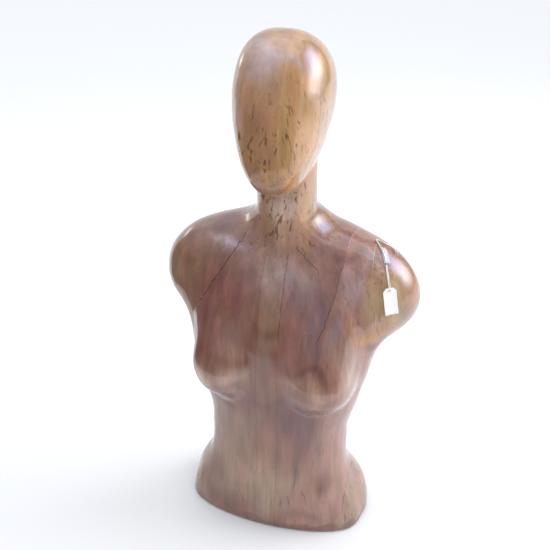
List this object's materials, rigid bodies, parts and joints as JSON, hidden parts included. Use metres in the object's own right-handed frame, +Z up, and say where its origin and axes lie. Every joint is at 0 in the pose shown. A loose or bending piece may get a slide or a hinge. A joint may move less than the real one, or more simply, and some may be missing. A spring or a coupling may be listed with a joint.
{
  "type": "mannequin bust",
  "caption": "Carved hardwood mannequin bust: faceless egg head, neck, rounded shoulder stumps and a flat-cut base, with a blank card ticket hung from one shoulder.",
  "frame": {"origin": "on the surface the bust stands on, under the middle of its bounding box", "axes": "+Z up, -Y is the front of the figure, +X is the figure's own left"},
  "size_m": [0.4159, 0.217, 0.837],
  "materials": {
    "head_right_wood": "gloss varnish",
    "head_left_wood": "gloss varnish",
    "right_shoulder_wood": "gloss varnish",
    "right_stave_wood": "gloss varnish",
    "centre_stave_wood": "gloss varnish",
    "left_inner_wood": "gloss varnish",
    "left_outer_wood": "gloss varnish",
    "left_cap_wood": "gloss varnish",
    "right_hip_wood": "gloss varnish",
    "left_hip_wood": "gloss varnish",
    "peg_wood": "bare turned wood",
    "clear_tape_film": "clear film",
    "cotton_string": "white cotton",
    "ticket_card": "white card"
  },
  "bodies": {
    "bust": {"head_right_block": "head_right_wood", "head_left_block": "head_left_wood", "right_shoulder_block": "right_shoulder_wood", "right_stave": "right_stave_wood", "centre_stave": "centre_stave_wood", "left_inner_stave": "left_inner_wood", "left_outer_stave": "left_outer_wood", "left_shoulder_cap": "left_cap_wood", "right_hip_cheek": "right_hip_wood", "left_hip_cheek": "left_hip_wood", "neck_peg": "peg_wood", "head_pegs": "peg_wood", "centre_pegs": "peg_wood", "left_seam_pegs": "peg_wood", "right_shoulder_pegs": "peg_wood", "left_cap_pegs": "peg_wood", "right_hip_pegs": "peg_wood", "left_hip_pegs": "peg_wood", "clear_tape": "clear_tape_film", "string_tail": "cotton_string", "string_knot": "cotton_string"},
    "string_drop": {"ticket_string": "cotton_string"},
    "ticket": {"lot_ticket": "ticket_card"}
  },
  "joints": [
    {"name": "string_lift", "type": "hinge", "parent": "bust", "child": "string_drop", "pos_m": [0.159, 0.0035, 0.499], "axis": [-0.7716, -0.6361, 0], "range_deg": [0, 110]},
    {"name": "ticket_swing", "type": "hinge", "parent": "string_drop", "child": "ticket", "pos_m": [0.16972, -0.01643, 0.4678], "axis": [0.4991, -0.8453, 0.1908], "range_deg": [-25, 25]}
  ]
}
